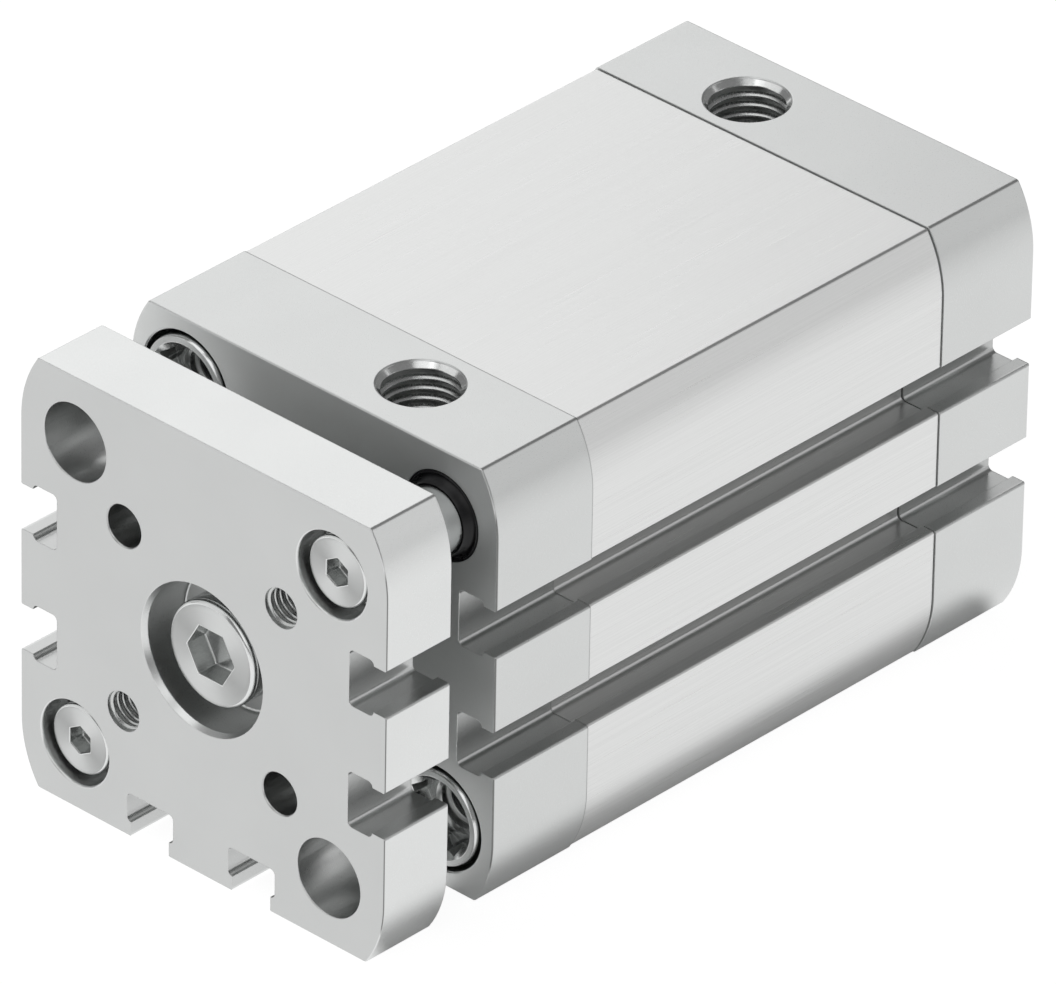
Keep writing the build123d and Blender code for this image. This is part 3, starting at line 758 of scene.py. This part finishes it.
def wiper(name, outer, rod, depth, proud):
    """A wiper about the Y axis, with its flange just behind y = 0 and its lip standing proud."""
    bead = outer - bead_inset
    root = outer - groove_inset
    lip = rod + lip_width
    return lathe(
        name,
        (
            (outer, flange_depth + flange_break),
            (outer - flange_break, flange_depth),
            (bead + bead_width, flange_depth),
            (bead + bead_width / 2, -bead_height),
            (bead - bead_width / 2, -bead_height),
            (bead - bead_width, groove_depth / 2),
            (root + lip_edge, 0.9 * groove_depth),
            (root, groove_depth),
            (root - bead_width, 2 * flange_depth),
            ((root + 2 * lip) / 3, -lip_swell * proud),
            (lip + bead_height, lip_edge - proud),
            (lip, -proud),
            (lip - lip_edge, lip_edge / 2 - proud),
            (rod + lip_room, groove_depth - proud),
            (rod + lip_room, depth),
            (outer, depth),
        ),
        ring_shut=True,
    )


wiper_rubber = moulded_rubber("wiper_polyurethane", (0.01, 0.01, 0.011), roughness=0.32, gloss=0.3)
cap_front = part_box("front_cap")[0].y
for wiper_name, wiper_nodes, rod_name in (
    ("guide_wipers", ("guide_wiper_upper", "guide_wiper_lower"), "guide_rod_upper"),
    ("rod_wipers", ("rod_wiper",), "piston_rod"),
):
    low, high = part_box(wiper_nodes[0])
    rod_low, rod_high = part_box(rod_name)
    wiper_shape = wiper(wiper_name + "_shape", (high.x - low.x) / 2, (rod_high.x - rod_low.x) / 2,
                        high.y - cap_front, cap_front - low.y)
    soften(wiper_shape, width=0, angle=40)
    wiper_places = [Vector((centre(name).x, cap_front, centre(name).z)) for name in wiper_nodes]
    grow(wiper_name, copy_tree, wiper_places, "housing", "seal_rubber", wiper_nodes,
         shape=wiper_shape, turn=unturned, material=wiper_rubber)
    retire(wiper_shape)

# Bearing bushes
# Rolled bronze bushes pressed into the front cap, one for the piston rod and one for each guide rod. Their
# bronze is porous and holds its oil.

bronze = worked(
    "bearing_bronze", (0.46, 0.31, 0.15), roughness=(0.28, 0.42),
    marks=(0.25 * mm, 0.25 * mm, 0.25 * mm), detail=4, change=0.12, height=0.004 * mm,
)
dress(bronze, "rod_bush", "guide_bush_upper", "guide_bush_lower")

# Piston
# A turned aluminium piston on the rod's end, held by a socket screw. A plastic-bonded magnet ring between
# its two seals trips the sensors in the slots.

piston_metal = worked(
    "turned_piston_aluminium", (0.70, 0.70, 0.69), roughness=(0.26, 0.36),
    marks=(8 * mm, 0.1 * mm, 8 * mm), detail=2, change=0.03, height=0.004 * mm,
)
magnet = worked(
    "bonded_magnet", (0.035, 0.032, 0.03), roughness=(0.42, 0.6), metallic=0.0,
    marks=(0.2 * mm, 0.2 * mm, 0.2 * mm), detail=3, change=0.3, height=0.003 * mm,
)
piston_steel = turned_steel("piston_screw_steel", steel_colour, steel_roughness, 0)
dress(piston_metal, "piston")
dress(magnet, "magnet_ring")
dress(piston_steel, "piston_screw")

# Rods
# The piston rod and the two guide rods are ground steel with hard chrome. Grinding leaves the finest of
# rings round them.

chrome = worked(
    "hard_chrome", (0.55, 0.56, 0.56), roughness=(0.12, 0.2),
    marks=(14 * mm, 0.06 * mm, 14 * mm), detail=3, change=0.03, height=0.002 * mm,
)
dress(chrome, "piston_rod", "guide_rod_upper", "guide_rod_lower")

# Yoke plate
# A milled aluminium plate that joins the piston rod and the guide rods, with the same outline and slots as
# the caps. It has two tapped holes and two dowel holes for the load.

plate_colour = (0.73, 0.74, 0.735)
front_painted_shade = 0.83
sunk_from = 1 * mm
pocket_floor_painted_shade = 0.7
dowel_reach = 2.9 * mm
dowel_bore_painted_shade = 0.72
access_reach = 4.73 * mm
access_bore_painted_shade = 0.82
tapped_root = 2.39 * mm
tapped_crest = 2.1 * mm
tapped_pitch = 0.8 * mm
tapped_start = 0.25 * mm


def sunk_only(tree, start):
    """One on what faces the front but lies behind this station: the floors of the pockets."""
    behind = calculate(tree, "GREATER_THAN", split(tree, surface(tree))["Y"], start)
    return calculate(tree, "MULTIPLY", behind, ends_only(tree, facing_front=True))


def bores_only(tree, places, reach):
    """One on the walls of the holes with these axes, as far as this reach from them."""
    here = surface(tree)
    inside = 0
    for place in places:
        off = calculate_vector(tree, "MULTIPLY_ADD", here, (1, 0, 1), (-place.x, 0, -place.z))
        near = calculate(tree, "LESS_THAN", calculate_vector(tree, "LENGTH", off), reach)
        inside = calculate(tree, "MAXIMUM", inside, near)
    return calculate(tree, "SUBTRACT", inside, ends_only(tree), clamp=True)


plate_metal, plate_tree, plate_shader = satin("satin_plate_aluminium", plate_colour, cap_roughness)
dowel_places = [mounts[name] for name in ("yoke_dowel_upper", "yoke_dowel_lower")]
access_places = [mounts[name] for name in ("front_screw_upper", "front_screw_lower")]
# Painted shade: the front face, the floors of the pockets and the walls of the dowel and access holes are
# darker.
for where, share in (
    (ends_only(plate_tree, facing_front=True), front_painted_shade),
    (sunk_only(plate_tree, cad_low.y + sunk_from), pocket_floor_painted_shade),
    (bores_only(plate_tree, dowel_places, dowel_reach), dowel_bore_painted_shade),
    (bores_only(plate_tree, access_places, access_reach), access_bore_painted_shade),
):
    tone(plate_tree, plate_shader, where, share)
dull(plate_tree, plate_shader, ends_only(plate_tree), milled_dullness / 2)
dress(plate_metal, "yoke_plate")

plate_low, plate_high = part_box("yoke_plate")
tapped_length = plate_high.y - plate_low.y - 2 * tapped_start
tapped_places = [
    Vector((mounts[name].x, plate_low.y + tapped_start, mounts[name].z))
    for name in ("yoke_thread_upper", "yoke_thread_lower")
]
grow("yoke_threads", thread_tree, tapped_places, "carriage", "plate_aluminium",
     root_radius=tapped_root, crest_radius=tapped_crest, turns=tapped_length / tapped_pitch,
     length=tapped_length, root_width=0.66 * tapped_pitch, crest_width=0.1 * mm,
     turn=into_front, material=tapped_and_shaded_metal)

# Yoke and guide screws
# Low-headed socket screws in the plate's pockets hold the plate to its rods. Their heads are turned, with a
# rounded rim and a fine groove under it, and the hexagon is pressed in.

screw_face = (0.69, 0.70, 0.695)
screw_roughness = 0.42
floor_round = 0.25 * mm
floor_steps = 3
mouth_break = 0.09 * mm
rim_steps = 6
rim_land = 0.06 * mm
groove_sink = 0.09 * mm
groove_start = 0.12 * mm
groove_end = 0.3 * mm
groove_top = 0.38 * mm
head_break = 0.15 * mm


def low_head_screw(name, head, height, shank, length, drive, drive_depth, rim, first_corner):
    """A socket screw about the Y axis, with its head's face at y = 0. The hexagon has a rounded floor and a
    broken mouth."""
    apothem = drive / 2
    socket = []
    for step in range(floor_steps + 1):
        angle = math.pi / 2 * step / floor_steps
        inset = apothem - floor_round * (1 - math.sin(angle))
        socket.append((polygon(inset, 6, first_corner), drive_depth - floor_round * (1 - math.cos(angle))))
    rim_depth = 0.6 * rim
    arc = []
    for step in range(rim_steps + 1):
        angle = math.pi / 2 * step / rim_steps
        arc.append((head - rim + rim * math.sin(angle), rim_depth - rim_depth * math.cos(angle)))
    return lathe(
        name,
        (
            *socket,
            (polygon(apothem, 6, first_corner), mouth_break),
            (polygon(apothem + mouth_break, 6, first_corner), 0),
            (0.68 * drive, 0),
            (head - rim - rim_land, 0),
            *arc,
            (head, rim_depth + rim_land),
            (head - groove_sink, rim_depth + groove_start),
            (head - groove_sink, rim_depth + groove_end),
            (head, rim_depth + groove_top),
            (head, height - head_break),
            (head - head_break, height),
            (shank, height),
            (shank, length - screw_point),
            (shank - screw_point, length),
        ),
    )


for screw_name, screw_nodes, away, head, height, shank, drive, drive_depth, rim, first_corner in (
    ("yoke_screw_head", ("yoke_screw",), 0, 6.3, 5.0, 4.0, 6.0, 2.7, 0.85, 0),
    ("guide_screw_heads", ("guide_screw_upper", "guide_screw_lower"),
     corner_offset, 4.2, 3.5, 2.5, 3.0, 2.0, 0.55, math.pi / 6),
):
    low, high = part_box(screw_nodes[0])
    screw_steel = turned_steel(screw_name + "_steel", screw_face, screw_roughness, away)
    screw_shape = low_head_screw(screw_name + "_shape", head * mm, height * mm, shank * mm, high.y - low.y,
                                 drive * mm, drive_depth * mm, rim * mm, first_corner)
    soften(screw_shape, width=0.04 * mm)
    screw_places = [centre(name) for name in screw_nodes]
    heads = grow(screw_name, copy_tree, screw_places, "carriage", "screw_steel", screw_nodes,
                 shape=screw_shape, turn=unturned, material=screw_steel)
    keep_pressed_and_shaded(heads, pressed, rolled, screw_places, reach=0.6 * drive * mm)
    retire(screw_shape)

# Floor
# A plain white floor. It shows white to the camera and to polished metal, and keeps the cylinder's shadow.
# Polished metal sees painted shade on it, darker in a strip along the cylinder's right foot and far off on
# the right.

floor_half = 6.0
floor_gap = 0.1 * mm
floor_colour = (0.85, 0.85, 0.85)
floor_light = 1.22
floor_glow = 0.75
foot_dark = 0.95
foot_strip = (-9 * mm, -5 * mm, -1 * mm, 6.5 * mm)
foot_taper = 4 * mm
far_dark = 0.16
far_start, far_full = 80 * mm, 220 * mm

pale, floor_tree, floor_shader = start_material("pale_floor", floor_colour, 0.9, 0.0)
floor_shader.inputs["Specular IOR Level"].default_value = 0.1
ray = floor_tree.nodes.new("ShaderNodeLightPath").outputs
seen = calculate(floor_tree, "MAXIMUM", ray["Is Camera Ray"], ray["Is Glossy Ray"])
seen = calculate(floor_tree, "MAXIMUM", seen, ray["Is Transmission Ray"])
spot = split(floor_tree, surface(floor_tree))
strip_start, strip_full, strip_last, strip_end = (cad_high.x + off for off in foot_strip)
# Painted shade in what polished metal sees: a strip along the right foot, and a fall far off on the right.
foot_shade = ray["Is Glossy Ray"]
for side, start, end in (
    ("X", strip_start, strip_full),
    ("X", strip_end, strip_last),
    ("Y", cad_low.y, cad_low.y + foot_taper),
    ("Y", cad_high.y, cad_high.y - foot_taper),
):
    part = ramp(floor_tree, spot[side], start, end, course="SMOOTHSTEP")
    foot_shade = calculate(floor_tree, "MULTIPLY", foot_shade, part)
far_shade = ramp(floor_tree, spot["X"], far_start, far_full, course="SMOOTHSTEP")
far_shade = calculate(floor_tree, "MULTIPLY", far_shade, ray["Is Glossy Ray"])
kept = calculate(floor_tree, "MULTIPLY", seen, floor_glow)
for shadow, darkness in ((foot_shade, foot_dark), (far_shade, far_dark)):
    remaining = calculate(floor_tree, "MULTIPLY_ADD", shadow, -darkness, 1)
    kept = calculate(floor_tree, "MULTIPLY", kept, remaining)
glow = floor_tree.nodes.new("ShaderNodeEmission")
glow.inputs["Color"].default_value = (1, 1, 1, 1)
glow.inputs["Strength"].default_value = floor_light
blend = floor_tree.nodes.new("ShaderNodeMixShader")
join(floor_tree, (
    (kept, blend.inputs["Fac"]),
    (floor_shader.outputs["BSDF"], blend.inputs[1]),
    (glow.outputs["Emission"], blend.inputs[2]),
    (blend.outputs["Shader"], floor_tree.nodes["Material Output"].inputs["Surface"]),
))

floor_mesh = bpy.data.meshes.new("floor")
bm = bmesh.new()
bmesh.ops.create_grid(bm, x_segments=1, y_segments=1, size=floor_half)
bmesh.ops.translate(bm, verts=bm.verts, vec=(0, 0, cad_low.z - floor_gap))
bm.to_mesh(floor_mesh)
bm.free()
floor_mesh.materials.append(pale)
floor = bpy.data.objects.new("floor", floor_mesh)
bpy.context.scene.collection.objects.link(floor)
floor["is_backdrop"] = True

# Light
# Five soft boxes in a dim room: two behind for the tops and upper sides, two in front for the front edges
# and the rims, and one overhead. The gap between those behind draws the dark line on each upper edge.

room_level = 0.22
middle_of_part = Vector((0, -50 * mm, 0))

world = bpy.data.worlds.new("studio")
bpy.context.scene.world = world
world.use_nodes = True
room = world.node_tree.nodes["Background"]
room.inputs["Color"].default_value = (1, 1, 1, 1)
room.inputs["Strength"].default_value = room_level
for name, direction, distance, width, height, level in (
    ("soft_box_back_left", (-0.735, 0.425, 0.525), 1.1, 0.85, 1.0, 0.98),
    ("soft_box_back_right", (0.68, 0.60, 0.30), 2.2, 1.3, 1.3, 0.66),
    ("soft_box_front_left", (-0.55, -0.68, 0.42), 2.2, 1.8, 2.3, 0.6),
    ("soft_box_overhead", (-0.12, -0.30, 0.93), 1.5, 0.95, 0.95, 0.95),
    ("soft_box_front_right", (0.48, -0.63, 0.59), 2.2, 1.6, 2.0, 0.95),
):
    light = bpy.data.lights.new(name, "AREA")
    light.shape = "RECTANGLE"
    light.size = width
    light.size_y = height
    light.energy = level * math.pi * width * height
    lamp = bpy.data.objects.new(name, light)
    lamp.location = middle_of_part + Vector(direction).normalized() * distance
    lamp.rotation_euler = (middle_of_part - lamp.location).to_track_quat("-Z", "Y").to_euler()
    bpy.context.scene.collection.objects.link(lamp)

# Camera
# A long lens from the front right and above, turned a little on its axis, as the photograph was taken.

azimuth = math.radians(42.777)
elevation = math.radians(31.639)
roll = math.radians(1.048)
distance = 1.668
aside, above = -23.24 * mm, -11.66 * mm
focal_pixels, photo_width = 15565.6, 1056
sensor_width = 36
aim_point = Vector((0, -85 * mm, 0))

level_share = math.cos(elevation)
back = Vector((math.sin(azimuth) * level_share, -math.cos(azimuth) * level_share, math.sin(elevation)))
right = Vector((math.cos(azimuth), math.sin(azimuth), 0))
axes = Matrix.Rotation(-roll, 3, "Z") @ Matrix((right, back.cross(right), back))
lens = bpy.data.cameras.new("camera")
lens.sensor_width = sensor_width
lens.lens = focal_pixels / photo_width * sensor_width
lens.clip_start, lens.clip_end = 0.1, 20
camera = bpy.data.objects.new("camera", lens)
bpy.context.scene.collection.objects.link(camera)
stand = aim_point + axes.transposed() @ Vector((-aside, -above, distance))
camera.matrix_world = Matrix.Translation(stand) @ axes.transposed().to_4x4()
bpy.context.scene.camera = camera
bpy.context.scene.view_settings.view_transform = "Standard"

low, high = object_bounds()
